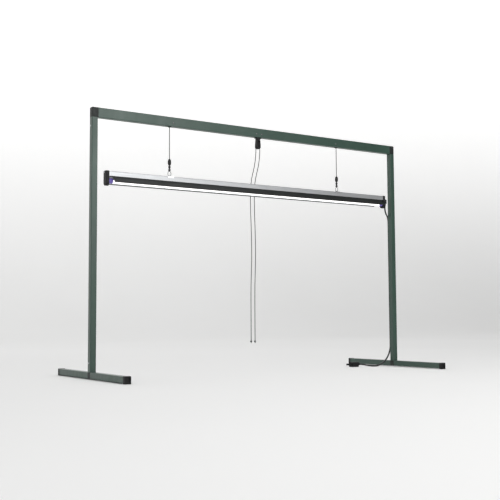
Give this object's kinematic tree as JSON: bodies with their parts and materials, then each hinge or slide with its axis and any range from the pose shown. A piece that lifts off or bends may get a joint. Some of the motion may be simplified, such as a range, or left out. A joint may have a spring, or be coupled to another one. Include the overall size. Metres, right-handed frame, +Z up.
{
  "type": "led grow light",
  "caption": "Free-standing tube frame with a height-adjustable hanging strip lamp on two cords, cord lock in the bar, and a lit reflector hood.",
  "frame": {"origin": "on the floor, midway between the uprights", "axes": "+X along the bar, -Y towards the front, +Z up"},
  "size_m": [1.272, 0.53, 0.861],
  "materials": {
    "green_paint": "satin hunter-green powder coat",
    "elbow_plastic": "moulded dark grey-green",
    "black_plastic": "moulded black",
    "button_plastic": "polished black",
    "white_plastic": "moulded white",
    "zinc_steel": "zinc plated",
    "swivel_black": "black oxide",
    "cord": "braided cord",
    "cable_jacket": "soft cable jacket",
    "housing_aluminium": "satin anodised",
    "hood_paint": "dark outside, white inside",
    "circuit_board": "white solder mask",
    "driver_mix": "taped coils and sleeved capacitors",
    "wire_red": "insulated wire",
    "led_glow": "frosted lit diffuser",
    "led_phosphor": "lit chips",
    "collar_violet": "violet-blue sleeve",
    "brass_pin": "plated contact pins"
  },
  "bodies": {
    "frame": {"cord_grommets": "black_plastic", "cord_inside_left": "cord", "cord_inside_right": "cord", "cord_lock_body": "black_plastic", "cord_lock_screws": "zinc_steel", "cord_lock_spring": "zinc_steel", "corner_elbow_left": "elbow_plastic", "corner_elbow_right": "elbow_plastic", "foot_cap_front_left": "black_plastic", "foot_cap_front_right": "black_plastic", "foot_cap_rear_left": "black_plastic", "foot_cap_rear_right": "black_plastic", "foot_tee_left": "elbow_plastic", "foot_tee_right": "elbow_plastic", "foot_tube_front_left": "green_paint", "foot_tube_front_right": "green_paint", "foot_tube_rear_left": "green_paint", "foot_tube_rear_right": "green_paint", "mains_plug": "black_plastic", "power_cord": "cable_jacket", "pulley_axles": "zinc_steel", "snap_buttons": "zinc_steel", "top_bar": "green_paint", "upright_left": "green_paint", "upright_right": "green_paint"},
    "pulley_outer_left": {"pulley_outer_left": "white_plastic"},
    "pulley_inner_left": {"pulley_inner_left": "white_plastic"},
    "pulley_inner_right": {"pulley_inner_right": "white_plastic"},
    "pulley_outer_right": {"pulley_outer_right": "white_plastic"},
    "lock_button": {"cord_lock_button": "button_plastic"},
    "carriage": {"cord_drop_left": "cord", "cord_drop_right": "cord", "snap_ring_left": "zinc_steel", "snap_ring_right": "zinc_steel"},
    "swivel_left": {"cord_bead_left": "button_plastic", "swivel_barrel_left": "swivel_black"},
    "swivel_right": {"cord_bead_right": "button_plastic", "swivel_barrel_right": "swivel_black"},
    "cord_tails": {"cord_tail_left": "cord", "cord_tail_right": "cord", "tail_knots": "cord"},
    "lamp": {"lamp_housing": "housing_aluminium", "reflector_hood": "hood_paint", "lamp_end_cap_left": "black_plastic", "lamp_end_cap_right": "black_plastic", "hanger_clip_left": "zinc_steel", "hanger_clip_right": "zinc_steel", "lamp_cap_screws": "zinc_steel", "driver_board": "circuit_board", "driver_parts": "driver_mix", "driver_wires": "wire_red", "lamp_plug": "black_plastic"},
    "led_tube": {"tube_lens": "led_glow", "tube_heat_sink": "housing_aluminium", "tube_board": "circuit_board", "led_chips": "led_phosphor", "tube_collars": "collar_violet", "tube_pins": "brass_pin", "socket_rotors": "white_plastic"}
  },
  "joints": [
    {"name": "lamp_height", "type": "slide", "parent": "frame", "child": "carriage", "axis": [0, 0, 1], "range_m": [-0.45, 0.09], "deforming": ["cord_drop_left", "cord_drop_right", "power_cord"]},
    {"name": "tail_slide", "type": "slide", "parent": "frame", "child": "cord_tails", "axis": [0, 0, 1], "range_m": [-0.09, 0.45], "deforming": ["cord_tail_left", "cord_tail_right"]},
    {"name": "pulley_outer_left_spin", "type": "hinge", "parent": "frame", "child": "pulley_outer_left", "pos_m": [-0.3445, 0, 0.841], "axis": [0, 1, 0], "range_deg": [-2715, 543.8]},
    {"name": "pulley_inner_left_spin", "type": "hinge", "parent": "frame", "child": "pulley_inner_left", "pos_m": [-0.011, 0, 0.841], "axis": [0, 1, 0], "range_deg": [-2715, 543.8]},
    {"name": "pulley_inner_right_spin", "type": "hinge", "parent": "frame", "child": "pulley_inner_right", "pos_m": [0.011, 0, 0.841], "axis": [0, 1, 0], "range_deg": [-543.8, 2715]},
    {"name": "pulley_outer_right_spin", "type": "hinge", "parent": "frame", "child": "pulley_outer_right", "pos_m": [0.3445, 0, 0.841], "axis": [0, 1, 0], "range_deg": [-543.8, 2715]},
    {"name": "button_press", "type": "slide", "parent": "frame", "child": "lock_button", "axis": [0, 1, 0], "range_m": [0, 0.0018], "stiffness_N_per_m": 1500, "springref_m": -0.002, "deforming": ["cord_lock_spring"]},
    {"name": "swivel_left_turn", "type": "hinge", "parent": "carriage", "child": "swivel_left", "pos_m": [-0.354, 0, 0.69], "axis": [0, 0, 1], "continuous": true},
    {"name": "swivel_right_turn", "type": "hinge", "parent": "carriage", "child": "swivel_right", "pos_m": [0.354, 0, 0.69], "axis": [0, 0, 1], "continuous": true},
    {"name": "lamp_swing", "type": "hinge", "parent": "carriage", "child": "lamp", "pos_m": [0, 0, 0.664], "axis": [1, 0, 0], "range_deg": [-20, 5]},
    {"name": "tube_twist", "type": "hinge", "parent": "lamp", "child": "led_tube", "pos_m": [0, 0, 0.6288], "axis": [1, 0, 0], "range_deg": [0, 90]}
  ],
  "couplings": [
    {"joint": "tail_slide", "follows": "lamp_height", "ratio": -1},
    {"joint": "pulley_outer_left_spin", "follows": "lamp_height", "rad_per_m": 105.26},
    {"joint": "pulley_inner_left_spin", "follows": "lamp_height", "rad_per_m": 105.26},
    {"joint": "pulley_inner_right_spin", "follows": "lamp_height", "rad_per_m": -105.26},
    {"joint": "pulley_outer_right_spin", "follows": "lamp_height", "rad_per_m": -105.26}
  ]
}
